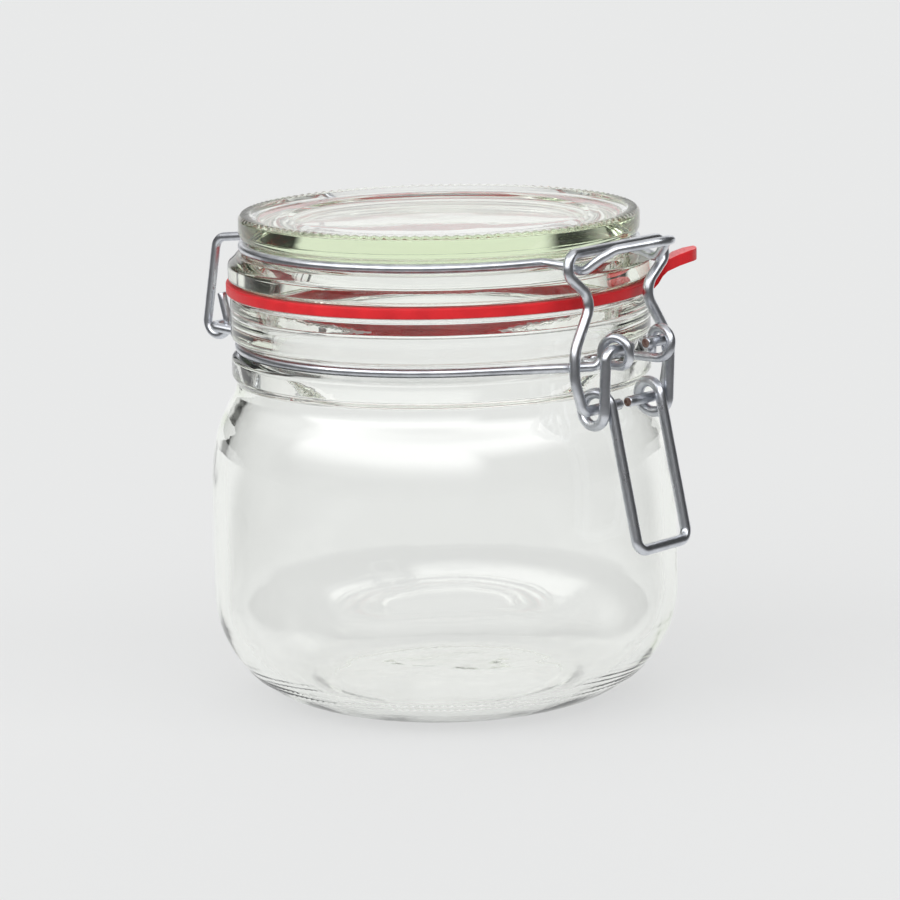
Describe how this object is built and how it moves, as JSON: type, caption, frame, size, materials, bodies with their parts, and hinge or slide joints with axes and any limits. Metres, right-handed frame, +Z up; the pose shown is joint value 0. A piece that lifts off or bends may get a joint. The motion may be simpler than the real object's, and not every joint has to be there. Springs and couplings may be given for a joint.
{
  "type": "clip-top canning jar",
  "caption": "Squat glass canning jar with a hinged glass lid, red rubber ring with a pull tab, and a wire bail clamp with a swing-down lever handle.",
  "frame": {"origin": "on the jar's axis, level with the foot ring the jar stands on", "axes": "+Z up along the jar's axis, +X towards the wire clamp, -X towards the lid's hinge"},
  "size_m": [0.1181, 0.1004, 0.1059],
  "materials": {
    "jar_glass": "clear pressed soda-lime glass",
    "lid_glass": "clear pressed soda-lime glass, a little greener at the edge",
    "gasket_rubber": "red satin rubber",
    "neck_steel": "zinc-plated drawn wire",
    "lid_steel": "zinc-plated drawn wire",
    "lever_steel": "zinc-plated drawn wire",
    "bail_steel": "zinc-plated drawn wire"
  },
  "bodies": {
    "jar": {"jar_glass": "jar_glass", "gasket": "gasket_rubber", "neck_wire": "neck_steel", "lid_glass": "lid_glass", "lid_wire": "lid_steel"},
    "lever": {"lever_wire": "lever_steel"},
    "bail": {"bail_wire": "bail_steel"}
  },
  "joints": [
    {"name": "lever_swing", "type": "hinge", "parent": "jar", "child": "lever", "pos_m": [0.0533, 0, 0.081], "axis": [0, -1, 0], "range_deg": [0, 80]},
    {"name": "bail_pivot", "type": "hinge", "parent": "lever", "child": "bail", "pos_m": [0.0493, 0, 0.0684], "axis": [0, -1, 0], "range_deg": [-53, 0]}
  ],
  "couplings": [
    {"joint": "bail_pivot", "follows": "lever_swing", "ratio": -0.65}
  ]
}
